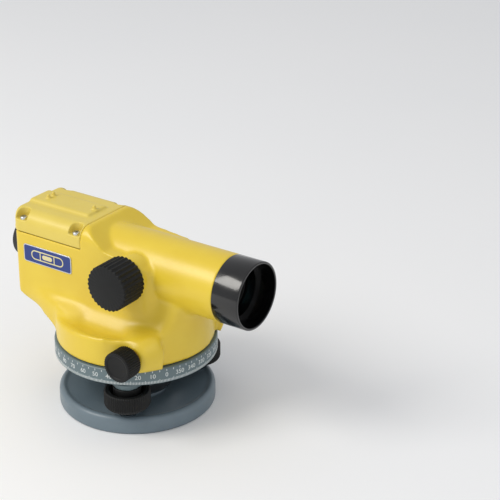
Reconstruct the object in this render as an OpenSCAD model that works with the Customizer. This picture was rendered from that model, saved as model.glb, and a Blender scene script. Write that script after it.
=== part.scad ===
// Automatic level: a telescope with a hanging compensator, on a levelling base with three foot screws.
// Millimetres. +Z is up, the origin is the centre of the base plate's underside, the telescope
// looks along +X, and the focusing knob is on the -Y side.

/* [Telescope] */
// Height of the line of sight above the base plate's underside
sight_h = 110; // [109.5:0.25:110.5]
// Outer radius of the telescope barrel
barrel_r = 24.3; // [23.8:0.1:24.8]
// Where the barrel ends and the objective hood begins
barrel_end = 84; // [82:1:90]
// Height of the eyepiece, below the line of sight that the prisms carry down to it
eye_z = 103; // [102:0.5:104]
// Front edge of the objective hood
hood_end = 105.2; // [100:0.1:112]
// Clear bore of the barrel, in which the focusing cell slides
barrel_bore_r = 20.25; // [20.1:0.05:20.4]
// How far the focusing lens moves each way from its middle position
focus_travel = 10; // [6:1:10]

/* [Housing] */
// Half the width of the housing under the cover
house_half_w = 29.5; // [29:0.25:30]
// Rear face of the housing
house_rear = -87; // [-90:0.5:-86]
// Front end of the wide side walls
house_front = 36; // [34:0.5:38]
// Height of the joint between the housing and its top cover
seam_z = 122; // [121.5:0.25:123]
// Height of the top cover's shoulders
roof_z = 138.2; // [137.6:0.2:139]
// Front edge of the top cover
cover_front = -24.4; // [-26:0.2:-24]

/* [Drum] */
// Outer radius of the drum
drum_r = 57.5; // [57:0.25:58]
// Underside of the drum
drum_z = 52.5; // [52.4:0.1:53]
// Height of the lip round the drum's tray
lip_z = 73.8; // [73:0.2:75]

/* [Horizontal circle] */
// Outer radius of the graduated circle
circle_r = 59; // [58.5:0.25:59]
// Underside of the circle
circle_z = 40.5; // [40.4:0.1:40.6]
// Height of the circle's outer wall
circle_h = 11.5; // [10:0.1:11.5]

/* [Levelling base] */
// Outer radius of the base plate
base_r = 57.3; // [56:0.1:60]
// Height of the base plate
base_h = 13; // [12:0.5:13]
// Wall radius of the tripod screw hole, for a 5/8 inch 11 tpi thread
tripod_thread_r = 6.75; // [6.7:0.05:6.8]
// Radius of the circle through the three foot screws
foot_pitch_r = 49; // [48:0.5:50]
// Outer radius of a foot screw's knob
foot_knob_r = 16.5; // [15:0.25:17]
// Radius of a foot screw's shank
foot_shank_r = 3; // [2.5:0.25:3]

/* [Knobs] */
// Outer radius of the focusing knob
focus_knob_r = 16.7; // [15:0.1:17]
// Outer radius of a tangent knob
tangent_knob_r = 11.1; // [10:0.1:11.2]

/* [Hidden] */
$fn = 96;

yellow = "#e6c84a";
black = "#2b2c2c";
base_paint = "#75848d";
circle_paint = "#68777c";
steel = "#b8bcc0";
brass = "#c9a650";
optical = "#bcd8dc";

// Running clearance of a shaft in its bush
running = 0.05;

// Base plate
rim_w = 3.7;
rim_round = 3.5;
dish_z = 8.5;
tripod_boss_r = 20;
tripod_boss_h = 12.5;
ball_r = 4;
ball_z = 10;
spring_t = 1.2;
spring_screw_r = 31;

// Foot screws stand at these angles, the first one nearest the focusing knob
foot_angles = [-60, 60, 180];
foot_knob_z = 19.6;
foot_knob_top = 32.8;
bush_z = 28;
arm_z = 35.9;
arm_t = 4.2;
arm_top = arm_z + arm_t;
shank_top = 37.4;

// Centre axis and its bearings
axis_r = 9;
axis_low = 24;
axis_top = 82.2;
sleeve_z = 68;
clutch_z = 53.6;
clutch_t = 3.2;

// Worm drive: one knob turn moves the telescope by one tooth
worm_x = 35;
worm_z = 62.8;
wheel_teeth = 80;
wheel_t = 7;
wheel_pitch_r = worm_x - 5;
worm_core_r = 4.75;
worm_thread = 0.75;
worm_half_l = 11;
worm_pitch = 2 * PI * wheel_pitch_r / wheel_teeth;
tangent_knob_y = 52.7;
tangent_knob_l = 13.3;
worm_shaft_r = 3;

// Housing
wall = 3.5;
chamber_floor = 89;
shoulder_round = 10;
drum_bore_r = 53.5;
pad_y = 49.5;
pad_r = 11.2;
tray_z = 70.5;
tray_t = 3.2;
lip_slope = 4.3;
collar_front = -21;
ramp_end_x = -3;
ramp_end_z = 125.3;
apron_z = 81.5;
side_top_z = 122.8;
overhang_z = 66;
overhang_corner = 16;
cover_screw_x = [-79.5, -30.5];
cover_screw_y = 25.4;
pocket_z = 131;
drum_screw_r = 47;

// Focusing drive
focus_x = 18.4;
focus_z = 112.8;
pinion_teeth = 9;
pinion_pitch_r = 2.25;
pinion_tooth = 0.45;
focus_boss_y = 31.2;
focus_knob_y = 32;
focus_knob_l = 22;
cell_mid_x = focus_x;
rack_y = 14.6;

// Compensator
pivot_x = -44;
pivot_z = 125;

// Eyepiece
eye_tube_r = 12;
eyecup_r = 16;
eyecup_rear = -103.5;

// Circular level on the far side of the drum
bubble_x = -14;
bubble_y = 41.2;
hinge_x = 2.5;
hinge_z = 87;

// Points on an arc about (cx, cy)
function arc(cx, cy, r, from, to, n = 8) =
    [for (i = [0:n]) let (a = from + (to - from) * i / n) [cx + r * cos(a), cy + r * sin(a)]];

// Points mirrored left to right, in reverse order
function mirrored(points) = [for (i = [len(points) - 1:-1:0]) [-points[i][0], points[i][1]]];

// One ribbed outline: n ribs, each a flat ridge with a shallow hollow beside it
function ribs(n, r, depth, ridge) =
    [for (i = [0:n - 1], k = [[0, 0], [ridge, 0], [ridge + 0.12, 1], [0.88, 1]])
        let (a = 360 * (i + k[0]) / n, q = r - depth * k[1]) [q * cos(a), q * sin(a)]];

// A gear outline with straight-sided teeth
function teeth(n, pitch_r, up, down, top, bottom) =
    [for (i = [0:n - 1], k = [[-bottom / 2, -down], [-top / 2, up], [top / 2, up], [bottom / 2, -down]])
        let (a = 360 * (i + k[0]) / n, q = pitch_r + k[1]) [q * cos(a), q * sin(a)]];

// Turns a child drawn along +Z so that it points along +X, -Y or +Y
module along_x(x, z = sight_h) { translate([x, 0, z]) rotate([0, 90, 0]) children(); }
module to_front(x, y, z) { translate([x, -y, z]) rotate([90, 0, 0]) children(); }
module to_back(x, y, z) { translate([x, y, z]) rotate([-90, 0, 0]) children(); }
module at_foot(i) { rotate(foot_angles[i]) translate([foot_pitch_r, 0, 0]) children(); }
module at_feet() { for (i = [0:2]) at_foot(i) children(); }
module tube(outer, inner, h) {
    difference() {
        cylinder(r = outer, h = h);
        translate([0, 0, -1]) cylinder(r = inner, h = h + 2);
    }
}
// A stretch along X of an outline drawn in (y, z)
module run_x(from, to) { translate([from, 0, 0]) rotate([90, 0, 90]) linear_extrude(to - from) children(); }
// A slab across Y of an outline drawn in (x, z)
module slab_y(half) { rotate([90, 0, 0]) linear_extrude(2 * half, center = true) children(); }

// ---- Levelling base ----

module base_plate() {
    color(base_paint)
    difference() {
        union() {
            rotate_extrude() polygon(concat(
                [[0, 0], [base_r - 1, 0], [base_r, 1]],
                arc(base_r - rim_round, base_h - rim_round, rim_round, 0, 90),
                [[base_r - rim_w, base_h], [base_r - rim_w - 2.5, base_h - 1.2], [tripod_boss_r + 1, dish_z],
                 [tripod_boss_r, tripod_boss_h], [0, tripod_boss_h]]));
            at_feet() translate([0, 0, dish_z - 1]) cylinder(r = 6, h = base_h - dish_z + 0.5);
            for (a = foot_angles)
                rotate(a) translate([spring_screw_r, 0, dish_z - 1]) cylinder(r = 5, h = base_h - dish_z + 1);
        }
        translate([0, 0, -1]) cylinder(r = tripod_thread_r, h = tripod_boss_h + 2);
        at_feet() translate([0, 0, ball_z - ball_r - 0.3]) cylinder(r = ball_r + 0.3, h = 20);
        for (a = foot_angles)
            rotate(a) translate([spring_screw_r, 0, base_h - 6]) cylinder(r = 1.5, h = 20);
    }
}

module spring_plate() {
    color(steel)
    translate([0, 0, base_h])
    difference() {
        linear_extrude(spring_t) {
            circle(r = 25);
            for (a = foot_angles)
                rotate(a) hull() {
                    translate([foot_pitch_r, 0]) circle(r = 6.5, $fn = 32);
                    translate([20, 0]) circle(r = 13, $fn = 32);
                }
        }
        translate([0, 0, -1]) cylinder(r = 16, h = 4);
        at_feet() translate([0, 0, -1]) cylinder(r = foot_shank_r + 0.5, h = 4);
        for (a = foot_angles)
            rotate(a) translate([spring_screw_r, 0, -1]) cylinder(r = 1.7, h = 4);
    }
}

// Pan-head screw, its head resting at z = 0 and its shank going down
module pan_screw(head_r, head_h, shank_r, shank_l) {
    difference() {
        union() {
            rotate_extrude() polygon(concat([[0, 0], [head_r, 0]],
                arc(head_r - 0.7, head_h - 0.7, 0.7, 0, 90, 4), [[0, head_h]]));
            translate([0, 0, -shank_l]) cylinder(r = shank_r, h = shank_l);
        }
        for (a = [0, 90])
            rotate(a) translate([-head_r * 0.6, -0.35, head_h - 0.8]) cube([head_r * 1.2, 0.7, 1]);
    }
}

module spring_plate_screws() {
    color(steel)
    for (a = foot_angles)
        rotate(a) translate([spring_screw_r, 0, base_h + spring_t]) pan_screw(3, 1.8, 1.5, 6.5);
}

module foot_screw(i) {
    color(steel)
    at_foot(i) {
        translate([0, 0, ball_z]) sphere(r = ball_r);
        translate([0, 0, ball_z]) cylinder(r = foot_shank_r, h = shank_top - ball_z - 0.8);
        translate([0, 0, shank_top - 0.8]) cylinder(r1 = foot_shank_r, r2 = foot_shank_r - 0.8, h = 0.8);
    }
}

module foot_knob(i) {
    recess_r = 11.2;
    recess_z = bush_z - 3.3;
    color(black)
    at_foot(i)
    intersection() {
        translate([0, 0, foot_knob_z]) linear_extrude(foot_knob_top - foot_knob_z)
            difference() {
                polygon(ribs(60, foot_knob_r, 0.5, 0.4));
                circle(r = foot_shank_r);
            }
        rotate_extrude() polygon([
            [foot_shank_r, foot_knob_z], [foot_knob_r - 2.6, foot_knob_z], [foot_knob_r - 0.9, foot_knob_z + 0.9],
            [foot_knob_r, foot_knob_z + 2.8], [foot_knob_r, foot_knob_top - 0.9],
            [foot_knob_r - 0.9, foot_knob_top], [foot_knob_r - 3.6, foot_knob_top],
            [recess_r, foot_knob_top - 1.2], [recess_r, recess_z], [foot_shank_r, recess_z]]);
    }
}

module foot_bushes() {
    color(black)
    at_feet()
    difference() {
        union() {
            translate([0, 0, bush_z]) cylinder(r = 10, h = arm_z - bush_z);
            translate([0, 0, arm_z]) cylinder(r = 6, h = arm_t - 0.4);
        }
        translate([0, 0, bush_z - 1]) cylinder(r = foot_shank_r + 0.6, h = 20);
    }
}

module tribrach() {
    color(circle_paint)
    difference() {
        union() {
            translate([0, 0, arm_z]) linear_extrude(arm_t)
                hull() at_feet() circle(r = 9.4, $fn = 48);
            translate([0, 0, axis_low]) cylinder(r = 23, h = arm_z - axis_low + 1);
            translate([0, 0, arm_top - 0.5]) cylinder(r = 22, h = 9.3);
        }
        translate([0, 0, axis_low - 1]) cylinder(r = axis_r, h = 40);
        at_feet() translate([0, 0, arm_z - 1]) cylinder(r = 6, h = arm_t + 2);
    }
}

module centre_axis() {
    color(steel)
    rotate_extrude() polygon([
        [0, axis_low], [axis_r, axis_low], [axis_r, clutch_z], [15, clutch_z], [15, clutch_z + clutch_t],
        [axis_r, clutch_z + clutch_t], [axis_r, axis_top], [5, axis_top], [5, axis_top + 5.6], [0, axis_top + 5.6]]);
}

module axis_nut() {
    color(steel)
    translate([0, 0, axis_top + 0.1])
    difference() {
        cylinder(r = 11, h = 4.4, $fn = 6);
        translate([0, 0, -1]) cylinder(r = 5, h = 7);
    }
}

module circle_friction_ring() {
    color(black)
    translate([0, 0, arm_top]) tube(30, 23, 0.8);
}

module horizontal_circle() {
    web_z = arm_top + 1.1;
    web_t = 3;
    top = circle_z + circle_h;
    color(circle_paint)
    rotate_extrude() polygon([
        [22 + running, web_z], [50.5, web_z], [51.3, circle_z], [circle_r - 0.5, circle_z],
        [circle_r, circle_z + 0.5], [circle_r, top - 0.8], [circle_r - 0.8, top], [53, top], [52, top - 1],
        [52, web_z + web_t], [22 + running, web_z + web_t]]);
}

// ---- Horizontal drive ----

module worm_wheel() {
    color(brass)
    translate([0, 0, worm_z - wheel_t / 2])
    difference() {
        // A tooth gap faces the worm's first thread crest
        linear_extrude(wheel_t) rotate(180 / wheel_teeth)
            polygon(teeth(wheel_teeth, wheel_pitch_r, 0.6, 1, 0.22, 0.42));
        translate([0, 0, -1]) cylinder(r = axis_r + running, h = wheel_t + 2);
        translate([0, 0, wheel_t - 2]) tube(25, 14, 3);
    }
}

module clutch_spring() {
    color(steel)
    translate([0, 0, clutch_z + clutch_t + 0.3])
        tube(14.5, axis_r + 0.4, worm_z - wheel_t / 2 - clutch_z - clutch_t - 0.3);
}

module worm_shaft() {
    turns = 2 * worm_half_l / worm_pitch;
    color(steel) {
        to_front(worm_x, -61, worm_z) cylinder(r = worm_shaft_r, h = 122);
        // The thread is a disc set off centre and twisted; a crest meets the wheel at mid-length
        to_front(worm_x, -worm_half_l, worm_z)
            linear_extrude(2 * worm_half_l, twist = -360 * turns, slices = 8 * round(turns), $fn = 12)
                rotate(180 - 180 * turns) translate([worm_thread, 0]) circle(r = worm_core_r, $fn = 12);
    }
}

module tangent_knob() {
    rim = 1.1;
    sleeve_l = 2.1;
    r = tangent_knob_r;
    y = tangent_knob_y;
    l = tangent_knob_l;
    color(black)
    to_front(worm_x, 0, worm_z)
    difference() {
        intersection() {
            union() {
                translate([0, 0, y]) linear_extrude(l) polygon(ribs(40, r, 0.45, 0.4));
                cylinder(r = 7, h = y + 1);
            }
            rotate_extrude() polygon(concat(
                [[0, y - sleeve_l], [7, y - sleeve_l], [7, y], [r - 0.6, y], [r, y + 0.6]],
                arc(r - rim, y + l - rim, rim, 0, 90, 4),
                [[r - 2.4, y + l], [r - 3, y + l - 0.7], [0, y + l - 0.7]]));
        }
        cylinder(r = worm_shaft_r, h = 61);
    }
}

module tangent_knob_right() { tangent_knob(); }
module tangent_knob_left() { mirror([0, 1, 0]) tangent_knob(); }

module worm_bushes() {
    flange = 0.7;
    color(brass)
    for (side = [0, 1])
        mirror([0, side, 0]) to_front(worm_x, 0, worm_z)
            difference() {
                union() {
                    translate([0, 0, 42]) cylinder(r = 6, h = pad_y - 42);
                    translate([0, 0, pad_y]) cylinder(r = 7.5, h = flange);
                }
                cylinder(r = worm_shaft_r + running, h = 60);
            }
}

// ---- Housing ----

// Cross-section of the housing and its cover, in (y, z), drawn inset for the inner faces
module house_section(inset = 0, bottom = 60) {
    half = house_half_w - inset;
    top = roof_z - inset;
    r = shoulder_round - inset;
    right = concat([[half, bottom]], arc(half - r, top - r, r, 0, 90));
    polygon(concat(right, mirrored(right)));
}

// Side outline of the housing, in (x, z), up to the roof
module house_side() {
    corner = overhang_corner;
    // The sweep ends on the drum's wall, at its underside
    sweep_c = [house_rear + corner, drum_z + 0.1];
    sweep_w = 1 - drum_r - sweep_c[0];
    polygon(concat(
        [[house_rear, roof_z], [house_rear, overhang_z + corner]],
        arc(house_rear + corner, overhang_z + corner, corner, 180, 270),
        // The overhang sweeps down into the drum's wall as a quarter of an ellipse
        [for (a = [80:-10:0]) [sweep_c[0] + sweep_w * cos(a), sweep_c[1] + (overhang_z - sweep_c[1]) * sin(a)]],
        [[house_front - 4, drum_z + 0.1], [house_front, tray_z], [house_front, side_top_z - 12]],
        arc(house_front - 11, side_top_z - 11, 11, 0, 90),
        [[ramp_end_x, ramp_end_z], [collar_front, roof_z]]));
}

// Plan outline of the side walls, in (x, y), with rounded corners
module house_plan(inset = 0) {
    half = house_half_w - inset;
    rear = house_rear + inset;
    front = house_front - inset;
    polygon(concat(
        arc(rear + 5, half - 5, 5, 180, 90), arc(front - 9, half - 9, 9, 90, 0),
        arc(front - 9, 9 - half, 9, 0, -90), arc(rear + 5, 5 - half, 5, 270, 180)));
}

// The outer solid of the housing, cover included
module house_block() {
    intersection() {
        slab_y(60) house_side();
        run_x(-100, 60) house_section(0, 50);
        linear_extrude(160) house_plan();
    }
}

// Overhang behind the drum: its plan narrows to the rear, its underside sweeps up
module rear_flank() {
    intersection() {
        linear_extrude(apron_z)
            polygon([[house_rear + 2, 27], [-44, 37], [-20, 44], [-20, -44], [-44, -37], [house_rear + 2, -27]]);
        slab_y(60) house_side();
        run_x(-100, 0) polygon([[-45, 50], [-45, lip_z - 3], [-house_half_w, apron_z],
            [house_half_w, apron_z], [45, lip_z - 3], [45, 50]]);
    }
}

// Everything under a plane that rises to the front, lip_z high at the centre
module under_lip(above = 0) {
    translate([0, 0, lip_z + above]) rotate([0, -lip_slope, 0]) translate([-100, -100, -100]) cube([200, 200, 100]);
}

// Drum, with a lip that rises to the front round a dished tray
module drum() {
    difference() {
        intersection() {
            rotate_extrude() polygon([
                [0, drum_z], [drum_r - 1, drum_z], [drum_r, drum_z + 1], [drum_r, lip_z + 5], [0, lip_z + 5]]);
            under_lip();
        }
        rotate_extrude() polygon([
            [0, tray_z], [43, tray_z], [49, tray_z + 0.8], [drum_r - 3, tray_z + 3], [drum_r - 1.6, tray_z + 7.5],
            [0, tray_z + 7.5]]);
    }
}

// Sloping foot of the side walls, down to the tray
module apron() {
    intersection() {
        cylinder(r = 54, h = 100);
        hull() {
            translate([0, 0, apron_z - 0.5]) linear_extrude(0.5) house_plan();
            translate([0, 0, tray_z + 3]) linear_extrude(1) offset(r = 5) house_plan();
            translate([0, 0, tray_z - 2]) linear_extrude(1) offset(r = 11) house_plan();
        }
    }
}

// Pads that carry the tangent knobs' bushes, level with the drum's underside and its lip
module tangent_pads() {
    intersection() {
        for (side = [0, 1])
            mirror([0, side, 0]) to_front(worm_x, 34, worm_z)
                cylinder(r1 = pad_r + 8, r2 = pad_r, h = pad_y - 34);
        translate([0, -60, drum_z]) cube([60, 120, 40]);
        under_lip(0.5);
    }
}

// Front of the drum, carried up to the underside of the barrel
module pillar() {
    intersection() {
        cylinder(r = drum_r - 0.4, h = 120);
        run_x(32, 60) polygon([[-38, 60], [-38, lip_z - 1], [-31, lip_z + 4], [-25, 87], [-21, 96], [-14, 103],
            [14, 103], [21, 96], [25, 87], [31, lip_z + 4], [38, lip_z - 1], [38, 60]]);
    }
}

module cover_lugs(low, r) {
    for (x = cover_screw_x, y = [-cover_screw_y, cover_screw_y])
        translate([x, y, low]) cylinder(r = r, h = seam_z - low);
}

module main_body() {
    color(yellow)
    difference() {
        union() {
            drum();
            apron();
            pillar();
            rear_flank();
            difference() {
                house_block();
                translate([house_rear - 1, -40, seam_z - 0.3]) cube([cover_front - house_rear + 1, 80, 40]);
            }
            along_x(collar_front) cylinder(r = barrel_r, h = barrel_end - collar_front);
            tangent_pads();
            to_front(focus_x, 20, focus_z) cylinder(r = 14.5, h = focus_boss_y - 20);
            along_x(house_rear - 1.5, eye_z) cylinder(r = 15, h = 6);
        }
        // Compensator chamber, open under the cover, with lugs for the cover's screws
        difference() {
            run_x(house_rear + 4, cover_front - 1) house_section(wall, chamber_floor);
            cover_lugs(chamber_floor, 4);
        }
        along_x(cover_front - 3) cylinder(r = barrel_bore_r, h = 120);
        // Inside of the drum, with the bearing boss and three screw lugs left standing
        difference() {
            union() {
                translate([0, 0, 40]) cylinder(r = drum_bore_r, h = tray_z - tray_t - 40);
                translate([-42, -25, tray_z - 5.5]) cube([72, 50, 19]);
                translate([worm_x - 7.5, -worm_half_l - 2.5, 58]) cube([15, 2 * worm_half_l + 5, 12]);
            }
            translate([0, 0, sleeve_z]) cylinder(r = 17, h = 30);
            for (a = foot_angles)
                rotate(a) translate([drum_screw_r, 0, drum_z + 2.6]) cylinder(r = 4, h = 20);
        }
        translate([0, 0, sleeve_z - 1]) cylinder(r = 13, h = sight_h - barrel_bore_r - sleeve_z - 0.8);
        for (a = foot_angles)
            rotate(a) translate([drum_screw_r, 0, drum_z]) cylinder(r = 1.4, h = 12);
        for (side = [0, 1])
            mirror([0, side, 0]) {
                to_front(worm_x, 30, worm_z) cylinder(r = 6, h = 30);
                to_front(worm_x, pad_y, worm_z) cylinder(r = 7.8, h = 10);
            }
        // Pocket for the circular level and its hinge lugs
        translate([bubble_x, bubble_y, tray_z]) cylinder(r = 11.8, h = 14);
        translate([bubble_x + 5.5, bubble_y - 11.6, tray_z]) cube([hinge_x - bubble_x - 2.3, 23.2, 20]);
        to_front(focus_x, 15, focus_z) cylinder(r = 5, h = 20);
        along_x(house_rear - 3, eye_z) cylinder(r = eye_tube_r, h = 10);
        for (x = cover_screw_x, y = [-cover_screw_y, cover_screw_y])
            translate([x, y, seam_z - 12]) cylinder(r = 1.4, h = 14);
    }
}

module axis_sleeve() {
    color(brass)
    translate([0, 0, sleeve_z]) tube(13, axis_r + running, axis_top - sleeve_z - 0.4);
}

module drum_cover() {
    color(black)
    translate([0, 0, drum_z + 0.4])
    difference() {
        cylinder(r = drum_bore_r - 0.1, h = 2.2);
        translate([0, 0, -1]) cylinder(r = 18, h = 5);
        for (a = foot_angles)
            rotate(a) translate([drum_screw_r, 0, -1]) cylinder(r = 1.6, h = 5);
    }
}

module drum_cover_screws() {
    color(steel)
    for (a = foot_angles)
        rotate(a) translate([drum_screw_r, 0, drum_z + 0.4]) {
            cylinder(r = 1.4, h = 10);
            translate([0, 0, -0.35]) cylinder(r = 2.5, h = 0.35);
        }
}

module top_cover() {
    panel_half = 10;
    panel_z = roof_z + 1.9;
    panel_front = -32;
    rear = house_rear;
    low = seam_z + 0.3;
    color(yellow)
    difference() {
        union() {
            difference() {
                intersection() {
                    union() {
                        run_x(rear, cover_front) house_section(0, low);
                        run_x(rear, panel_front) polygon([[-panel_half - 1.5, roof_z - 1], [-panel_half, panel_z],
                            [panel_half, panel_z], [panel_half + 1.5, roof_z - 1]]);
                    }
                    linear_extrude(160) house_plan();
                }
                run_x(rear + 3, cover_front - 3) house_section(3, low - 1);
            }
            // Solid corners that the screw pockets are sunk into
            intersection() {
                run_x(rear + 1, cover_front - 1) house_section(1, low);
                for (x = cover_screw_x, y = [-cover_screw_y, cover_screw_y])
                    translate([x, y, low]) cylinder(r = 7.5, h = 20);
            }
            // Open sight: two pegs at the rear, one at the front
            for (p = [[-75.5, -2.75], [-75.5, 2.75], [-35, 0]])
                translate([p[0], p[1], panel_z - 0.5]) cylinder(r1 = 2, r2 = 1, h = 3.6);
        }
        for (x = cover_screw_x, side = [-1, 1]) {
            translate([x, side * cover_screw_y, pocket_z]) cylinder(r = 4.9, h = 20);
            translate([x - 4.9, side > 0 ? cover_screw_y : -cover_screw_y - 10, pocket_z]) cube([9.8, 10, 20]);
            translate([x, side * cover_screw_y, low - 1]) cylinder(r = 1.6, h = 20);
        }
    }
}

module cover_gasket() {
    color(black)
    translate([0, 0, seam_z - 0.3])
    difference() {
        linear_extrude(0.6)
            intersection() {
                house_plan(1);
                translate([house_rear, -40]) square([cover_front - house_rear - 0.8, 80]);
            }
        translate([house_rear + 3.6, -house_half_w + 3.2, -1])
            cube([cover_front - house_rear - 6.8, 2 * house_half_w - 6.4, 3]);
        for (x = cover_screw_x, y = [-cover_screw_y, cover_screw_y])
            translate([x, y, -1]) cylinder(r = 1.6, h = 4);
    }
}

module cover_screws() {
    color(steel)
    for (x = cover_screw_x, y = [-cover_screw_y, cover_screw_y])
        translate([x, y, pocket_z]) pan_screw(2.8, 2, 1.4, 16);
}

module label_plate() {
    x0 = -77.5;
    x1 = -33;
    z0 = sight_h - 9.6;
    z1 = sight_h + 4;
    color("#23408c")
    translate([0, -house_half_w, 0]) rotate([90, 0, 0]) linear_extrude(0.5)
        hull() for (x = [x0 + 2, x1 - 2], z = [z0 + 2, z1 - 2]) translate([x, z]) circle(r = 2, $fn = 32);
}

// ---- Telescope ----

module objective_hood() {
    inner = barrel_r - 1.8;
    color(black)
    along_x(0)
    rotate_extrude() polygon([
        [19, barrel_end - 6], [barrel_bore_r, barrel_end - 6], [barrel_bore_r, barrel_end], [barrel_r, barrel_end],
        [barrel_r, hood_end - 0.8], [barrel_r - 0.6, hood_end], [inner + 0.5, hood_end],
        [inner, hood_end - 0.6], [inner, barrel_end + 7], [19, barrel_end + 7]]);
}

module objective_cell() {
    color(black)
    along_x(0)
    rotate_extrude() polygon([
        [16, 63], [barrel_bore_r, 63], [barrel_bore_r, 77.8], [18.5, 77.8], [18.5, 81], [17.6, 81],
        [17.6, 67], [16, 67]]);
}

module objective_ring() {
    color(black)
    along_x(81) tube(18.5, 16.4, 2.4);
}

module objective_crown() {
    color(optical)
    along_x(0)
    rotate_extrude() polygon(concat([[0, 73]],
        [for (i = [1:8]) [17.4 * i / 8, 73 + 2 * pow(i / 8, 2)]],
        [for (i = [8:-1:0]) [17.4 * i / 8, 80.8 - 3.2 * pow(i / 8, 2)]]));
}

module objective_flint() {
    color(optical)
    along_x(0)
    rotate_extrude() polygon(concat([[0, 69.4], [17.4, 68]],
        [for (i = [8:-1:0]) [17.4 * i / 8, 72.9 + 2 * pow(i / 8, 2)]]));
}

module focus_cell() {
    outer = barrel_bore_r - running;
    lens_r = 13.5;
    color(brass)
    difference() {
        along_x(cell_mid_x - 10) cylinder(r = outer, h = 20);
        along_x(cell_mid_x - 11) cylinder(r = lens_r - 1.5, h = 30);
        along_x(cell_mid_x - 3) cylinder(r = lens_r, h = 20);
        // Flat side for the rack and the pinion
        translate([cell_mid_x - 11, -outer - 1, focus_z - 8]) cube([22, outer + 1 - rack_y, 14]);
    }
}

module focus_lens() {
    color(optical)
    along_x(0)
    rotate_extrude() polygon(concat([[0, cell_mid_x - 1.4]],
        [for (i = [1:8]) [13.4 * i / 8, cell_mid_x - 1.4 - 1.4 * pow(i / 8, 2)]],
        [for (i = [8:-1:0]) [13.4 * i / 8, cell_mid_x + 1.2 + 1.4 * pow(i / 8, 2)]]));
}

module focus_rack() {
    tooth_pitch = 2 * PI * pinion_pitch_r / pinion_teeth;
    line_z = focus_z - pinion_pitch_r;
    half_n = ceil(focus_travel / tooth_pitch) + 2;
    // A rack tooth stands under the pinion's axis at rest
    tooth_x = [for (i = [-half_n:half_n]) focus_x + i * tooth_pitch];
    back_z = line_z - 3.5;
    end = (half_n + 0.5) * tooth_pitch;
    color(steel)
    translate([0, -rack_y, 0]) rotate([90, 0, 0]) linear_extrude(4.6)
        polygon(concat([[focus_x - end, back_z], [focus_x - end, line_z - 0.6]],
            [for (x = tooth_x, k = [[-0.48, -0.6], [-0.2, pinion_tooth], [0.2, pinion_tooth], [0.48, -0.6]])
                [x + k[0], line_z + k[1]]],
            [[focus_x + end, line_z - 0.6], [focus_x + end, back_z]]));
}

module focus_pinion() {
    color(steel)
    to_front(focus_x, 15, focus_z) {
        // A tooth gap faces down at rest
        linear_extrude(4.6) rotate(90)
            polygon(teeth(pinion_teeth, pinion_pitch_r, pinion_tooth, 0.6, 0.2, 0.42));
        cylinder(r = 1.5, h = 36);
        translate([0, 0, 5.4]) cylinder(r = 2, h = 30);
    }
}

module focus_bush() {
    color(brass)
    to_front(focus_x, 20.6, focus_z) tube(5, 2 + running, focus_boss_y - 20.6);
}

module focus_knob() {
    r = focus_knob_r;
    y = focus_knob_y;
    l = focus_knob_l;
    rim = 1.4;
    color(black)
    to_front(focus_x, 0, focus_z)
    difference() {
        intersection() {
            translate([0, 0, y]) linear_extrude(l) polygon(ribs(28, r, 0.8, 0.3));
            rotate_extrude() polygon(concat(
                [[0, y], [r - 1.2, y], [r, y + 1.2]],
                arc(r - rim, y + l - rim, rim, 0, 90, 4), [[0, y + l]]));
        }
        cylinder(r = 2, h = 51);
    }
}

// ---- Compensator ----

module compensator_frame() {
    x0 = -62;
    x1 = -26;
    cheek = 17.5;
    color(steel)
    difference() {
        union() {
            translate([x0, -cheek, chamber_floor]) cube([x1 - x0, 2 * cheek, 3]);
            for (y = [-cheek, cheek - 2.5])
                translate([x0 + 4, y, chamber_floor]) cube([x1 - x0 - 8, 2.5, pivot_z + 4 - chamber_floor]);
            translate([pivot_x - 12, -cheek, pivot_z + 1]) cube([24, 2 * cheek, 3]);
            // Brackets that carry the fixed prisms
            for (x = [x0 + 1, x1 - 8])
                translate([x, -9, chamber_floor]) cube([8, 18, sight_h - 8 - chamber_floor]);
        }
        // Windows in the cheeks
        translate([pivot_x - 9, -30, chamber_floor + 10]) cube([18, 60, 16]);
    }
}

// Three-sided prism block lying along Y, base up or down
module prism(x, z, size, half) {
    translate([x, 0, z]) slab_y(half) polygon([[-size, 0], [size, 0], [0, size]]);
}

module fixed_prisms() {
    color(optical)
    for (x = [-57, -30]) prism(x, sight_h - 8, 3.6, 8);
}

module pendulum() {
    color(brass)
    difference() {
        translate([pivot_x - 8, -12, pivot_z - 29]) cube([16, 24, 19]);
        translate([pivot_x - 20, -8.5, pivot_z - 26]) cube([40, 17, 20]);
    }
}

module pendulum_prism() {
    color(optical)
    translate([pivot_x, 0, pivot_z - 26]) slab_y(8.4) polygon([[-7.5, 0], [7.5, 0], [7.5, 4], [0, 14], [-7.5, 4]]);
}

module suspension_tapes() {
    color(steel)
    for (x = [-5.5, 5.5], y = [-10.8, 10])
        translate([pivot_x + x - 0.1, y, pivot_z - 10]) cube([0.2, 0.8, 10.8]);
}

module damper_vane() {
    color("#b87333")
    translate([pivot_x - 6, -5, pivot_z - 31.8]) cube([12, 10, 2.8]);
}

module damper_magnets() {
    color(steel)
    for (y = [-1, 1])
        translate([pivot_x, y * 8.2, chamber_floor + 3]) cylinder(r = 2.6, h = 3.4);
}

// ---- Reticle and eyepiece ----

module reticle_cell() {
    color(brass)
    along_x(-72, eye_z) tube(11, 7, 5);
}

module reticle() {
    color(optical)
    along_x(-70.5, eye_z) cylinder(r = 7, h = 1.6);
}

module reticle_screws() {
    color(steel)
    for (a = [0, 180])
        along_x(-69.5, eye_z) rotate([90, 0, a]) translate([0, 0, 11]) cylinder(r = 1.3, h = house_half_w - wall - 11);
}

module eyepiece_tube() {
    outer = eye_tube_r - running;
    color(black)
    along_x(0, eye_z)
    rotate_extrude() polygon([
        [8.5, -74], [outer, -74], [outer, -89.2], [14.2, -89.2], [14.2, -97], [8.5, -97]]);
}

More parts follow.
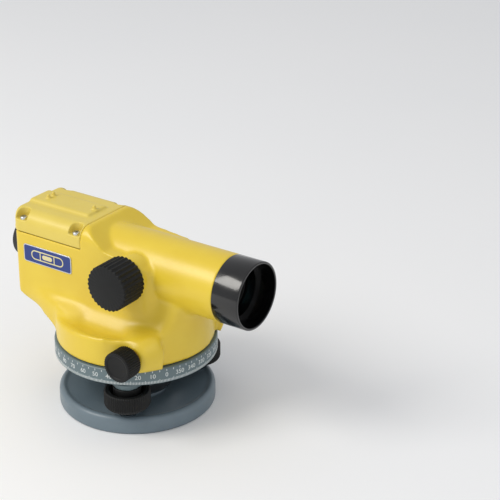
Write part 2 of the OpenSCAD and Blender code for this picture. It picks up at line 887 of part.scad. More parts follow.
module eyepiece_lenses() {
    color(optical)
    for (x = [-78, -86, -94])
        along_x(x - 1.6, eye_z)
            rotate_extrude() polygon([[0, 0], [8.5, 0.8], [8.5, 2.4], [0, 3.2]]);
}

module eyecup() {
    r = eyecup_r;
    color(black)
    along_x(0, eye_z)
    rotate_extrude() polygon([
        [14.2, -89.2], [r - 0.4, -89.2], [r, -90], [r, -96.4], [r - 1, -98.4], [r - 1.4, eyecup_rear + 1],
        [r - 2.4, eyecup_rear], [r - 3.6, eyecup_rear], [10, -97.4], [10, -97], [14.2, -97]]);
}

// ---- Circular level ----

module bubble_holder() {
    lug_y = 11.5;
    low = tray_z + 2;
    color(yellow)
    difference() {
        union() {
            translate([bubble_x, bubble_y, low]) cylinder(r = 11.4, h = 11);
            // Hinge lugs for the folding mirror
            for (y = [-lug_y + 0.4, lug_y - 3.4])
                hull() {
                    translate([bubble_x + 6, bubble_y + y, low]) cube([5, 3, 6]);
                    to_back(hinge_x, bubble_y + y, hinge_z) cylinder(r = 2.6, h = 3, $fn = 32);
                }
        }
        translate([bubble_x, bubble_y, low + 3]) cylinder(r = 8.6, h = 20);
        to_back(hinge_x, bubble_y - 20, hinge_z) cylinder(r = 1.2, h = 40);
    }
}

module bubble_vial() {
    color(optical)
    translate([bubble_x, bubble_y, tray_z + 5]) cylinder(r = 8.5, h = 7.6);
}

module bubble_screws() {
    color(steel)
    for (a = [90, 210, 330])
        translate([bubble_x, bubble_y, tray_z]) rotate(a) translate([8.6, 0, 0]) cylinder(r = 1.1, h = 2);
}

module mirror_pin() {
    color(steel)
    to_back(hinge_x, bubble_y - 11.2, hinge_z) cylinder(r = 1.2, h = 22.4);
}

// The folding mirror stands at 45 degrees, leaning back over the bubble
module leaning() { translate([hinge_x, bubble_y, hinge_z]) rotate([0, 45, 0]) children(); }

module mirror_frame() {
    color(black)
    difference() {
        union() {
            leaning() translate([-25, -10.4, -1.4]) cube([19.6, 20.8, 2.8]);
            leaning() translate([-6, -6.5, -1.4]) cube([6, 13, 2.8]);
            to_back(hinge_x, bubble_y - 7.6, hinge_z) cylinder(r = 2.6, h = 15.2);
        }
        to_back(hinge_x, bubble_y - 20, hinge_z) cylinder(r = 1.2 + running, h = 40);
        leaning() translate([-24, -9.4, -2]) cube([17.6, 18.8, 1.8]);
    }
}

module bubble_mirror() {
    color("#dfe6ea")
    leaning() translate([-24, -9.4, -1.2]) cube([17.6, 18.8, 1]);
}

base_plate();
spring_plate();
spring_plate_screws();
foot_screw(0);  // foot_screw_a
foot_screw(1);  // foot_screw_b
foot_screw(2);  // foot_screw_c
foot_knob(0);  // foot_knob_a
foot_knob(1);  // foot_knob_b
foot_knob(2);  // foot_knob_c
tribrach();
foot_bushes();
centre_axis();
axis_nut();
circle_friction_ring();
horizontal_circle();
worm_wheel();
clutch_spring();
worm_shaft();
tangent_knob_right();
tangent_knob_left();
worm_bushes();
main_body();
axis_sleeve();
drum_cover();
drum_cover_screws();
top_cover();
cover_gasket();
cover_screws();
label_plate();
objective_hood();
objective_cell();
objective_crown();
objective_flint();
objective_ring();
focus_cell();
focus_lens();
focus_rack();
focus_pinion();
focus_knob();
focus_bush();
compensator_frame();
fixed_prisms();
damper_magnets();
pendulum();
pendulum_prism();
suspension_tapes();
damper_vane();
reticle_cell();
reticle();
reticle_screws();
eyepiece_tube();
eyepiece_lenses();
eyecup();
bubble_holder();
bubble_vial();
bubble_screws();
mirror_pin();
mirror_frame();
bubble_mirror();
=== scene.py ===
"""An automatic level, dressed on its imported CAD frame, piece by piece in the order it is put together."""
import math

import bmesh
import bpy
from mathutils import Matrix, Vector


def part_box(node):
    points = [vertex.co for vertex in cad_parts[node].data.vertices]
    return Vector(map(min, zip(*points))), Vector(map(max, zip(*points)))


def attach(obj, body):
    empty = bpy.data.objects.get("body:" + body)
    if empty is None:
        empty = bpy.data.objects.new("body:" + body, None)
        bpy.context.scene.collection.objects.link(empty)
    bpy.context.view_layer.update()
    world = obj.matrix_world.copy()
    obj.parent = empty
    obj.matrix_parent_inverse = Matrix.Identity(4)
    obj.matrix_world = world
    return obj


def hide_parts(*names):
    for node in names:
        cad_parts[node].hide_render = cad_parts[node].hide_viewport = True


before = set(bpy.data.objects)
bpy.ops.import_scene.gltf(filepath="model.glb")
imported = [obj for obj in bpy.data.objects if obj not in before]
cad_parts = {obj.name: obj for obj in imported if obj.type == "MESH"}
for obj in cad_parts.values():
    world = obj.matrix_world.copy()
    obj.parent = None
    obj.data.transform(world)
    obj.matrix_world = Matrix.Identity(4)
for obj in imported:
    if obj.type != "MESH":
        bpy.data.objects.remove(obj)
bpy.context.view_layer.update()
MM = 0.001


# ---- Camera ----
# A studio camera with a long lens, turned 34 degrees to the right of square and 24 degrees down.
# Its place and turn are given by yaw, pitch and roll about the row frame.
camera_at = Vector((0.604032, -0.748299, 0.552418))
yaw, pitch, roll = (math.radians(a) for a in (34.008, 24.406, 0.311))
backward = Vector((math.sin(yaw) * math.cos(pitch), -math.cos(yaw) * math.cos(pitch), math.sin(pitch)))
level_right = Vector((math.cos(yaw), math.sin(yaw), 0))
level_up = backward.cross(level_right)
camera_right = math.cos(roll) * level_right + math.sin(roll) * level_up
camera_up = math.cos(roll) * level_up - math.sin(roll) * level_right
camera_data = bpy.data.cameras.new("camera")
camera_data.sensor_width = 36
camera_data.lens = 107.07
camera_data.clip_start = 0.05
camera = bpy.data.objects.new("camera", camera_data)
camera_turn = Matrix((camera_right, camera_up, backward)).transposed().to_4x4()
camera.matrix_world = Matrix.Translation(camera_at) @ camera_turn
bpy.context.scene.collection.objects.link(camera)
bpy.context.scene.camera = camera


# ---- Floor and light ----
# A pale matt studio sweep under a large soft lamp from the upper left, with a weaker one on the right.
# The air round it is plain white light.
def linear(code):
    """The linear colour, with an alpha of 1, of an sRGB hex code."""
    parts = [int(code[i:i + 2], 16) / 255 for i in (1, 3, 5)]
    return tuple(c / 12.92 if c <= 0.04045 else ((c + 0.055) / 1.055) ** 2.4 for c in parts) + (1.0,)


def add(tree, kind, settings=(), inputs=()):
    """Adds a node to a tree, with its own settings and its inputs: values, or the sockets that feed them."""
    node = tree.nodes.new(kind)
    for key, value in dict(settings).items():
        setattr(node, key, value)
    for key, value in dict(inputs).items():
        if isinstance(value, bpy.types.NodeSocket):
            tree.links.new(value, node.inputs[key])
        else:
            node.inputs[key].default_value = value
    return node


def blank(name):
    """A new material with only its output node."""
    material = bpy.data.materials.new(name)
    material.use_nodes = True
    material.node_tree.nodes.clear()
    return material, material.node_tree


def lamp(name, place, aim, size, watts, colour):
    """A square soft lamp at a place, turned to face a point."""
    data = bpy.data.lights.new(name, "AREA")
    data.size = size
    data.energy = watts
    data.color = linear(colour)[:3]
    lamp_object = bpy.data.objects.new(name, data)
    turn = (Vector(aim) - Vector(place)).to_track_quat("-Z", "Y").to_matrix().to_4x4()
    lamp_object.matrix_world = Matrix.Translation(Vector(place)) @ turn
    bpy.context.scene.collection.objects.link(lamp_object)


floor_paint, tree = blank("matt studio paper")
place = add(tree, "ShaderNodeTexCoord")
mottle = add(tree, "ShaderNodeTexNoise", inputs={"Vector": place.outputs["Object"], "Scale": 3.0, "Detail": 2.0})
tone = add(tree, "ShaderNodeValToRGB", inputs={"Fac": mottle.outputs["Fac"]})
tone.color_ramp.elements[0].color = linear("#F4F5F6")
tone.color_ramp.elements[1].color = linear("#F8F8F8")
paper = add(tree, "ShaderNodeBsdfPrincipled", inputs={"Base Color": tone.outputs["Color"], "Roughness": 0.9,
                                                      "Specular IOR Level": 0.1})
add(tree, "ShaderNodeOutputMaterial", inputs={"Surface": paper.outputs["BSDF"]})

sweep = bmesh.new()
bmesh.ops.create_grid(sweep, x_segments=8, y_segments=8, size=6)
floor_mesh = bpy.data.meshes.new("floor")
sweep.to_mesh(floor_mesh)
sweep.free()
floor_mesh.materials.append(floor_paint)
floor = bpy.data.objects.new("floor", floor_mesh)
bpy.context.scene.collection.objects.link(floor)

world = bpy.data.worlds.new("studio air")
world.use_nodes = True
world.node_tree.nodes["Background"].inputs["Color"].default_value = linear("#FBFCFF")
world.node_tree.nodes["Background"].inputs["Strength"].default_value = 0.62
bpy.context.scene.world = world
bpy.context.scene.view_settings.view_transform = "Standard"
lamp("key lamp", (-0.75, -1.05, 1.25), (0, 0, 0.08), 0.8, 16.5, "#FFFCF6")
lamp("fill lamp", (1.3, -0.5, 0.9), (0, 0, 0.08), 1.0, 2.0, "#F4F8FF")


# ---- Base plate ----
# The aluminium casting that sits on the tripod, with a rounded rim, a shallow dish and a threaded boss.
# Cast, then sprayed with blue-grey enamel: a satin skin with a faint orange peel.
def drifting(tree, place, colours, scale, detail=2.0, top=0.7):
    """A tone that drifts between two hex colours: slow noise at a scale per metre, through a ramp."""
    drift = add(tree, "ShaderNodeTexNoise",
                inputs={"Vector": place.outputs["Object"], "Scale": scale, "Detail": detail})
    tone = add(tree, "ShaderNodeValToRGB", inputs={"Fac": drift.outputs["Fac"]})
    for stop, position, colour in zip(tone.color_ramp.elements, (0.3, top), colours):
        stop.position = position
        stop.color = linear(colour)
    return tone.outputs["Color"]


def enamel(name, colour, light_colour, peel=0.9, gloss=0.42, coat=0.12):
    """Sprayed enamel on a casting: slow changes of tone, and a peel of about a millimetre in the skin."""
    material, tree = blank(name)
    place = add(tree, "ShaderNodeTexCoord")
    tone = drifting(tree, place, (colour, light_colour), 45.0, 3.0, 0.75)
    peel_noise = add(tree, "ShaderNodeTexNoise",
                     inputs={"Vector": place.outputs["Object"], "Scale": 1 / (peel * MM), "Detail": 2.0})
    speck = add(tree, "ShaderNodeMapRange", inputs={"Value": peel_noise.outputs["Fac"], "From Min": 0.3,
                                                    "From Max": 0.7, "To Min": gloss - 0.06, "To Max": gloss + 0.06})
    skin = add(tree, "ShaderNodeBump", inputs={"Height": peel_noise.outputs["Fac"], "Strength": 0.22,
                                               "Distance": 0.00012})
    paint = add(tree, "ShaderNodeBsdfPrincipled",
                inputs={"Base Color": tone, "Roughness": speck.outputs["Result"],
                        "Normal": skin.outputs["Normal"], "Coat Weight": coat, "Coat Roughness": 0.25, "IOR": 1.5})
    add(tree, "ShaderNodeOutputMaterial", inputs={"Surface": paint.outputs["BSDF"]})
    return material


def show(name, mesh, material, body, stands_for=(), bevel=0.0, crease=35):
    """Makes a mesh into a finished piece: smooth shaded, sharp past an angle, riding on its body.
    Its edges may be rounded by a bevel in mm, and it stands for the CAD nodes that are named."""
    for polygon in mesh.polygons:
        polygon.use_smooth = True
    mesh.set_sharp_from_angle(angle=math.radians(crease))
    mesh.materials.clear()
    mesh.materials.append(material)
    piece = bpy.data.objects.new(name, mesh)
    bpy.context.scene.collection.objects.link(piece)
    if bevel:
        rounding = piece.modifiers.new("rounded edges", "BEVEL")
        rounding.width = bevel * MM
        rounding.segments = 2
        rounding.limit_method = "ANGLE"
        rounding.angle_limit = math.radians(30)
    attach(piece, body)
    if stands_for:
        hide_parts(*stands_for)


def settled(name, mesh, *steps):
    """The mesh after modifiers have worked on it. A step is a weight by place in mm, or None, with the
    modifier's kind and its settings."""
    work = bpy.data.objects.new(name, mesh)
    bpy.context.scene.collection.objects.link(work)
    for weight, kind, settings in steps:
        modifier = work.modifiers.new(kind, kind)
        for key, value in settings.items():
            setattr(modifier, key, value)
        if weight:
            group = work.vertex_groups.new(name=kind + str(len(work.modifiers)))
            for vertex in mesh.vertices:
                share = weight(vertex.co.x / MM, vertex.co.y / MM, vertex.co.z / MM)
                if share > 0:
                    group.add([vertex.index], min(share, 1), "REPLACE")
            modifier.vertex_group = group.name
    graph = bpy.context.evaluated_depsgraph_get()
    done = bpy.data.meshes.new_from_object(work.evaluated_get(graph), depsgraph=graph)
    bpy.data.objects.remove(work)
    done.name = name
    return done


def casting(name, node, grain, passes, plugs=(), blends=()):
    """A sand casting's soft shape: the CAD node's solid with its openings plugged, skinned and eased. The skin
    fills whatever hollow the plugs close off, and only what is bored or milled later is open again.
    A plug is (radius, length, turn, centre) in mm, and a blend is a weight and its count of smoothing passes."""
    solid = bmesh.new()
    solid.from_mesh(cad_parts[node].data)
    bmesh.ops.remove_doubles(solid, verts=solid.verts, dist=1e-6)
    for radius, depth, turn, at in plugs:
        bmesh.ops.create_cone(solid, cap_ends=True, segments=64, radius1=radius * MM, radius2=radius * MM,
                              depth=depth * MM, matrix=Matrix.Translation(Vector(at) * MM) @ turn)
    rough = bpy.data.meshes.new(name)
    solid.to_mesh(rough)
    solid.free()
    skin = settled(name, rough, (None, "REMESH", {"mode": "VOXEL", "voxel_size": grain * MM}))
    return settled(name, skin, *[(weight, "SMOOTH", {"factor": 0.5, "iterations": count})
                                 for weight, count in [(None, passes), *blends]])


ALONG_Z = Matrix.Identity(4)
ALONG_X = Matrix.Rotation(math.radians(90), 4, "Y")
ALONG_Y = Matrix.Rotation(math.radians(90), 4, "X")
base_enamel = enamel("sprayed blue-grey enamel", "#66757E", "#6E7D86", gloss=0.4)
show("foot_plate", casting("foot_plate", "base_plate", 0.8, 3), base_enamel, "base",
     ["base_plate"], crease=80)


# ---- Spring plate and its screws ----
# A three-armed leaf of spring steel over the ball ends, blackened so that it doesn't shine in the dish.
# Three pan-head screws of zinc-plated steel hold it to the foot plate.
def metal(name, colour, light_colour, rough, mark, stretch=(1, 1, 1), depth=0.1):
    """Bare or plated metal: a tone that drifts, and tool marks a given distance apart, drawn out one way."""
    material, tree = blank(name)
    place = add(tree, "ShaderNodeTexCoord")
    drawn = add(tree, "ShaderNodeMapping", inputs={"Vector": place.outputs["Object"], "Scale": stretch})
    marks = add(tree, "ShaderNodeTexNoise",
                inputs={"Vector": drawn.outputs["Vector"], "Scale": 1 / (mark * MM), "Detail": 3.0})
    tone = drifting(tree, place, (colour, light_colour), 120.0)
    polish = add(tree, "ShaderNodeMapRange", inputs={"Value": marks.outputs["Fac"], "From Min": 0.3, "From Max": 0.7,
                                                     "To Min": rough - 0.07, "To Max": rough + 0.07})
    grooves = add(tree, "ShaderNodeBump", inputs={"Height": marks.outputs["Fac"], "Strength": depth,
                                                  "Distance": 0.00005})
    surface = add(tree, "ShaderNodeBsdfPrincipled",
                  inputs={"Base Color": tone, "Metallic": 1.0,
                          "Roughness": polish.outputs["Result"], "Normal": grooves.outputs["Normal"]})
    add(tree, "ShaderNodeOutputMaterial", inputs={"Surface": surface.outputs["BSDF"]})
    return material


def refinish(material, *nodes):
    """Gives a material to CAD nodes whose shape stays as it is."""
    for node in nodes:
        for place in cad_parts[node].material_slots:
            place.material = material


def edged(node):
    """A merged copy of a CAD node's mesh with its flat faces joined, ready to have its edges rounded."""
    work = bmesh.new()
    work.from_mesh(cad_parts[node].data)
    bmesh.ops.remove_doubles(work, verts=work.verts, dist=1e-6)
    bmesh.ops.dissolve_limit(work, angle_limit=math.radians(0.6), verts=work.verts, edges=work.edges)
    mesh = bpy.data.meshes.new(node)
    work.to_mesh(mesh)
    work.free()
    return mesh


black_steel = metal("blackened spring steel", "#3A444A", "#465057", 0.5, 0.4, (1, 0.05, 1))
plated_steel = metal("zinc-plated steel", "#C6C8CA", "#DADCDC", 0.24, 0.25)
show("spring_leaf", edged("spring_plate"), black_steel, "base", ["spring_plate"], bevel=0.15)
show("leaf_screws", edged("spring_plate_screws"), plated_steel, "base", ["spring_plate_screws"])


# ---- Foot screws ----
# Ground steel screws whose ball ends sit in the foot plate, each with a moulded knob of black plastic.
# The knob has sixty fine ribs, a raised rim and a deep recess that the bush above it runs in.
def moulded(name, colour, light_colour, rough, grain, depth=0.16, coat=0.0, shine=0.5):
    """Moulded plastic or rubber: nearly one tone, with the mould's fine grain in its skin."""
    material, tree = blank(name)
    place = add(tree, "ShaderNodeTexCoord")
    tone = drifting(tree, place, (colour, light_colour), 90.0)
    pits = add(tree, "ShaderNodeTexNoise",
               inputs={"Vector": place.outputs["Object"], "Scale": 1 / (grain * MM), "Detail": 2.0})
    skin = add(tree, "ShaderNodeBump", inputs={"Height": pits.outputs["Fac"], "Strength": depth,
                                               "Distance": 0.00006})
    gloss = add(tree, "ShaderNodeMapRange", inputs={"Value": pits.outputs["Fac"], "From Min": 0.3, "From Max": 0.7,
                                                    "To Min": rough - 0.04, "To Max": rough + 0.04})
    surface = add(tree, "ShaderNodeBsdfPrincipled",
                  inputs={"Base Color": tone, "Roughness": gloss.outputs["Result"],
                          "Normal": skin.outputs["Normal"], "Coat Weight": coat, "Coat Roughness": 0.08,
                          "Specular IOR Level": shine, "IOR": 1.5})
    add(tree, "ShaderNodeOutputMaterial", inputs={"Surface": surface.outputs["BSDF"]})
    return material


def turned(name, outline, place, steps=96, ribs=None):
    """A lathe-turned form. The outline is (radius, height) or (radius, height, rounding) in mm, spun about Z.
    Ribs are (radius they start from, depths in mm at each step of one rib)."""
    work = bmesh.new()
    corners = [work.verts.new((point[0] * MM, 0, point[1] * MM)) for point in outline]
    for pair in zip(corners, corners[1:]):
        work.edges.new(pair)
    if outline[0][0] > 0:
        work.edges.new((corners[-1], corners[0]))
    for corner, point in zip(corners, outline):
        if len(point) == 3:
            bmesh.ops.bevel(work, geom=[corner], offset=point[2] * MM, segments=4, profile=0.5,
                            affect="VERTICES", material=-1)
    bmesh.ops.spin(work, geom=work.verts[:] + work.edges[:], cent=(0, 0, 0), axis=(0, 0, 1),
                   angle=math.tau, steps=steps, use_merge=True)
    bmesh.ops.remove_doubles(work, verts=work.verts, dist=1e-6)
    if ribs:
        start, depths = ribs
        widest = max(vertex.co.xy.length for vertex in work.verts)
        for vertex in work.verts:
            reach = vertex.co.xy.length
            if reach > start * MM:
                step = round(math.atan2(vertex.co.y, vertex.co.x) / math.tau * steps)
                share = (reach - start * MM) / (widest - start * MM)
                vertex.co.xy *= 1 - share * depths[step % len(depths)] * MM / reach
    bmesh.ops.recalc_face_normals(work, faces=work.faces)
    bmesh.ops.transform(work, matrix=place, verts=work.verts)
    mesh = bpy.data.meshes.new(name)
    work.to_mesh(mesh)
    work.free()
    return mesh


def at(x, y, z, turn=ALONG_Z):
    """A place in mm, with a turn from Z to another axis."""
    return Matrix.Translation(Vector((x, y, z)) * MM) @ turn


knob_plastic = moulded("black moulded phenolic", "#0E0F0F", "#131414", 0.5, 0.5, shine=0.28)
ground_steel = metal("ground steel", "#A9ADB1", "#BFC2C5", 0.22, 0.12, (1, 1, 12))
foot_knob_outline = [(3.1, 19.6), (13.9, 19.6, 0.4), (15.6, 20.5, 0.6), (16.5, 22.4, 0.6), (16.5, 31.9, 0.5),
                     (15.6, 32.8, 0.4), (12.9, 32.8, 0.4), (11.2, 31.6, 0.4), (11.2, 24.7, 0.5), (3.1, 24.7)]
FINE_RIB = (0.0, 0.0, 0.3, 0.5, 0.5, 0.3)
for letter in "abc":
    low, high = (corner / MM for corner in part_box("foot_screw_" + letter))
    show("knob_" + letter,
         turned("knob_" + letter, foot_knob_outline, at((low.x + high.x) / 2, (low.y + high.y) / 2, 0),
                60 * len(FINE_RIB), ribs=(15.0, FINE_RIB)),
         knob_plastic, "foot_screw_" + letter, ["foot_knob_" + letter])
    refinish(ground_steel, "foot_screw_" + letter)


# ---- Tribrach ----
# The three-armed plate that the foot screws lift, cast in aluminium and sprayed grey-green.
# Black plastic bushes guide the screws; the vertical axis is pressed into it, with its clutch wheel and nut.
grey_green = enamel("sprayed grey-green enamel", "#5F7075", "#67787C", gloss=0.42, coat=0.08)
show("tribrach_casting", casting("tribrach_casting", "tribrach", 0.8, 3), grey_green, "tribrach",
     ["tribrach"], crease=80)
show("screw_bushes", edged("foot_bushes"), knob_plastic, "tribrach", ["foot_bushes"], bevel=0.4)
felt = moulded("black wool felt", "#202020", "#2C2C2C", 0.9, 0.3, 0.8)
refinish(felt, "circle_friction_ring")
refinish(ground_steel, "centre_axis", "axis_nut")
spring_steel = metal("tempered spring steel", "#8E949A", "#A4A9AE", 0.3, 0.2, (8, 1, 1))
refinish(spring_steel, "clutch_spring", "suspension_tapes")
gear_brass = metal("machined gear brass", "#B8923F", "#CDA850", 0.28, 0.15, (1, 1, 10))
refinish(gear_brass, "worm_wheel", "axis_sleeve", "reticle_cell", "pendulum")


# ---- Horizontal circle ----
# A turned aluminium ring that is set by hand against an index, enamelled grey-green.
# White paint marks every degree along its lower edge, every five along the upper, and numbers every ten.
circle_outline = [(22.1, 41.2), (50.5, 41.2), (51.3, 40.5), (58.5, 40.5, 0.3), (59, 41), (59, 51.2, 0.4),
                  (58.2, 52, 0.3), (53, 52), (52, 51), (52, 44.2), (22.1, 44.2)]
show("graduated_ring", turned("graduated_ring", circle_outline, at(0, 0, 0), 180), grey_green, "circle",
     ["horizontal_circle"])
scale_r = 59.0
zero_at = math.radians(-31)
paint_t = 0.05
mark_low, mark_wide, mark_tall, half_mark_tall = 41.3, 0.38, 1.9, 2.6
upper_mark_z, upper_mark_wide, upper_mark_tall = 50.3, 0.45, 1.4
number_z, number_size = 46.6, 4.6
marks = bmesh.new()
for degree in range(360):
    tall = half_mark_tall if degree % 10 == 5 else mark_tall
    turn = Matrix.Rotation(zero_at - math.radians(degree), 4, "Z")
    bmesh.ops.create_cube(marks, size=MM, matrix=turn @ at(scale_r, 0, mark_low + tall / 2)
                          @ Matrix.Diagonal((2 * paint_t, mark_wide, tall, 1)))
    if degree % 5 == 0:
        bmesh.ops.create_cube(marks, size=MM, matrix=turn @ at(scale_r, 0, upper_mark_z)
                              @ Matrix.Diagonal((2 * paint_t, upper_mark_wide, upper_mark_tall, 1)))
    if degree % 10 == 0:
        letters = bpy.data.curves.new("number", "FONT")
        letters.body = str(degree)
        letters.size = number_size * MM
        letters.align_x = "CENTER"
        letters.align_y = "CENTER"
        letters.resolution_u = 4
        letters.extrude = paint_t * MM
        flat = bpy.data.objects.new("number", letters)
        bpy.context.scene.collection.objects.link(flat)
        graph = bpy.context.evaluated_depsgraph_get()
        number = bpy.data.meshes.new_from_object(flat.evaluated_get(graph), depsgraph=graph)
        bpy.data.objects.remove(flat)
        for vertex in number.vertices:
            angle = zero_at - math.radians(degree) + vertex.co.x / (scale_r * MM)
            reach = scale_r * MM + vertex.co.z
            vertex.co = (reach * math.cos(angle), reach * math.sin(angle), number_z * MM + vertex.co.y)
        marks.from_mesh(number)
bmesh.ops.remove_doubles(marks, verts=marks.verts, dist=1e-7)
bmesh.ops.recalc_face_normals(marks, faces=marks.faces)
graduations = bpy.data.meshes.new("graduations")
marks.to_mesh(graduations)
marks.free()
white_paint = enamel("white graduation paint", "#D4DAD8", "#E2E6E4", peel=0.3, gloss=0.55, coat=0.0)
show("graduations", graduations, white_paint, "circle")


# ---- Worm and tangent knobs ----
# The ground steel worm runs in brass bushes across the drum, with a moulded black knob on each end.
# Each knob has forty ribs, a plain dished face and a short sleeve that covers the bush.
refinish(ground_steel, "worm_shaft")
refinish(gear_brass, "worm_bushes")
worm_low, worm_high = (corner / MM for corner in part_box("worm_shaft"))
worm_x = (worm_low.x + worm_high.x) / 2
worm_z = (worm_low.z + worm_high.z) / 2
tangent_outline = [(3.05, 50.6), (7, 50.6, 0.2), (7, 52.7), (10.5, 52.7), (11.1, 53.3, 0.3), (11.1, 66, 0.9),
                   (8.7, 66, 0.3), (8.1, 65.3, 0.4), (0, 65.3), (0, 60.8), (3.05, 60.8)]
KNOB_RIB = (0.0, 0.0, 0.0, 0.25, 0.45, 0.5, 0.45, 0.25)
for side, turn in (("right", ALONG_Y), ("left", Matrix.Rotation(math.radians(-90), 4, "X"))):
    show("tangent_grip_" + side,
         turned("tangent_grip_" + side, tangent_outline, at(worm_x, 0, worm_z, turn), 40 * len(KNOB_RIB),
                ribs=(9.8, KNOB_RIB)),
         knob_plastic, "worm", ["tangent_knob_" + side])


# ---- Main body ----
# One aluminium casting: drum with a raised lip, dished tray, housing, pillar and barrel, all flowing together.
# Sprayed with yellow enamel, then bored for the telescope, the drive, the compensator and the eyepiece.
def body_blend(x, y, z):
    """Where the walls flow into the tray, the lip and the barrel, away from every machined edge."""
    if x < -22 and z > 112:  # the joint under the top cover
        return 0
    low = min(max((z - 64) / 6, 0), 1)
    front = min(max((74 - x) / 8, 0), 1)
    rear = min(max((x + 82) / 4, 0), 1)
    return low * front * rear


def wide_blend(x, y, z):
    """The broad sweep from the walls to the tray, the overhang and the barrel, gentler on the lip and the pads."""
    reach = math.hypot(x, y)
    if math.hypot(x - worm_x, z - worm_z) < 8.6 and abs(y) > 40:  # the faces round the worm's bushes
        return 0
    if x > 16 and abs(y) > 14 and z < 78:  # the pads in front, either side of the worm
        return 0.75 * min(max((z - 52.6) / 3, 0), 1)
    foot = 53.5 if x < -40 else 66
    level = min(max((z - foot) / 5, 0), 1) * min(max((101 - z) / 9, 0), 1)
    front = min(max((66 - x) / 8, 0), 1)
    rear = min(max((x + 84) / 6, 0), 1)
    lip = 0.22 if 50 < reach < 60 and x > -44 and z < 79 else 1
    return level * front * rear * lip


def machined(name, mesh, cuts):
    """The casting after boring and milling: a cut is a bore (radius, from, to, place) or a box (low, high)."""
    tools = []
    for cut in cuts:
        work = bmesh.new()
        if len(cut) == 2:
            low, high = (Vector(corner) * MM for corner in cut)
            bmesh.ops.create_cube(work, size=1, matrix=Matrix.LocRotScale((low + high) / 2, None, high - low))
        else:
            radius, start, end, place = cut
            bmesh.ops.create_cone(work, cap_ends=True, segments=96, radius1=radius * MM, radius2=radius * MM,
                                  depth=(end - start) * MM, matrix=place @ at(0, 0, (start + end) / 2))
        tool_mesh = bpy.data.meshes.new("tool")
        work.to_mesh(tool_mesh)
        work.free()
        tools.append(bpy.data.objects.new("tool", tool_mesh))
        bpy.context.scene.collection.objects.link(tools[-1])
    done = settled(name, mesh, *[(None, "BOOLEAN", {"operation": "DIFFERENCE", "object": tool,
                                                    "solver": "MANIFOLD"}) for tool in tools])
    for tool in tools:
        bpy.data.objects.remove(tool)
    return done


yellow_enamel = enamel("sprayed yellow enamel", "#E0C132", "#E5C83A", gloss=0.38, coat=0.2)
sight = (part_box("objective_hood")[0].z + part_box("objective_hood")[1].z) / 2 / MM
eye = (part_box("eyecup")[0].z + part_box("eyecup")[1].z) / 2 / MM
pinion = (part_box("focus_knob")[0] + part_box("focus_knob")[1]) / 2 / MM
body_mesh = casting(
    "cast_body", "main_body", 0.84, 4,
    plugs=[(53.6, 12.4, ALONG_Z, (0, 0, 61.4)),  # drum
           (22, 30, ALONG_Z, (-55, 0, 104)), (22, 30, ALONG_Z, (-65, 0, 104)),  # compensator chamber
           (20.4, 122, ALONG_X, (29, 0, sight)),  # barrel, and 6 mm past its end, inside the hood
           (5.2, 8, ALONG_Y, (pinion.x, -24, pinion.z)),  # focusing shaft
           (12.5, 4, ALONG_X, (-81, 0, eye)),  # eyepiece
           (13.2, 30, ALONG_Z, (0, 0, 76)),  # vertical axis
           (9, 20, ALONG_Y, (worm_x, 0, worm_z))],  # worm
    blends=[(body_blend, 14), (wide_blend, 220)])
# Behind the axis the drum's wall is brought back to its radius, from which it flares up into the housing.
drum_r, drum_low, flare_top, flare_rate = 57.5, 56.0, 72, 0.16
for vertex in body_mesh.vertices:
    x, y, z = vertex.co / MM
    flare = drum_r + flare_rate * max(z - drum_low, 0) ** 2
    if x < 0 and z < flare_top and math.hypot(x, y) > flare:
        vertex.co.xy *= flare / math.hypot(x, y)
body_mesh = machined("cast_body", body_mesh, [
    (20.25, -27, 100, at(0, 0, sight, ALONG_X)),  # barrel
    (53.5, 40, 67.3, at(0, 0, 0)),  # drum, from below
    (13, 60, 88.9, at(0, 0, 0)),  # vertical axis
    (7.2, -13.5, 13.5, at(worm_x, 0, worm_z, ALONG_Y)),  # worm
    ((-83, -20.4, 89), (-25.4, 20.4, 135)),  # compensator chamber, along
    ((-74.5, -26, 89), (-35.5, 26, 135)),  # and across
    (12, -95, -80, at(0, 0, eye, ALONG_X)),  # eyepiece
    (5, 15, 40, at(pinion.x, 0, pinion.z, ALONG_Y))])  # focusing shaft
show("cast_body", body_mesh, yellow_enamel, "alidade", ["main_body"], crease=60)
refinish(gear_brass, "focus_bush")


# ---- Drum cover ----
# A blackened aluminium disc that closes the drum from below, held by three low-headed screws.
black_anodised = metal("black anodised aluminium", "#242628", "#2E3032", 0.45, 0.3, (1, 1, 10))
show("drum_lid", edged("drum_cover"), black_anodised, "alidade", ["drum_cover"], bevel=0.3)
show("lid_screws", edged("drum_cover_screws"), plated_steel, "alidade", ["drum_cover_screws"])


# ---- Top cover ----
# A cast lid over the compensator with a raised panel, three sighting pegs and four pockets for its screws.
# Its enamel is made a little paler than the body's, as painted light on its upward faces. Four bright cross-head
# screws press it on a thin ochre gasket.
def cover_blend(x, y, z):
    """The shoulders and the ends of the raised panel, but not the pegs, the pockets or the joint face."""
    peg = min(math.hypot(x + 75.5, abs(y) - 2.75), math.hypot(x + 35, y)) < 3.4
    pocket = min(abs(x + 79.5), abs(x + 30.5)) < 6 and abs(y) > 18
    return 0 if peg or pocket or z < 126 else 1


# The lid's paler enamel is painted light: it stands for the lamp's light falling on its top, not for a different
# paint.
lid_enamel_with_painted_top_light = enamel("yellow enamel paled as painted top light", "#DCC455", "#E0C95C", gloss=0.42, coat=0.12)
show("cover_casting", casting("cover_casting", "top_cover", 0.55, 3, blends=[(cover_blend, 30)]),
     lid_enamel_with_painted_top_light, "alidade", ["top_cover"], crease=80)
gasket_rubber = moulded("dark ochre rubber", "#54481C", "#5E5122", 0.65, 0.3, 0.3)
refinish(gasket_rubber, "cover_gasket")
show("lid_fixings", edged("cover_screws"), plated_steel, "alidade", ["cover_screws"])


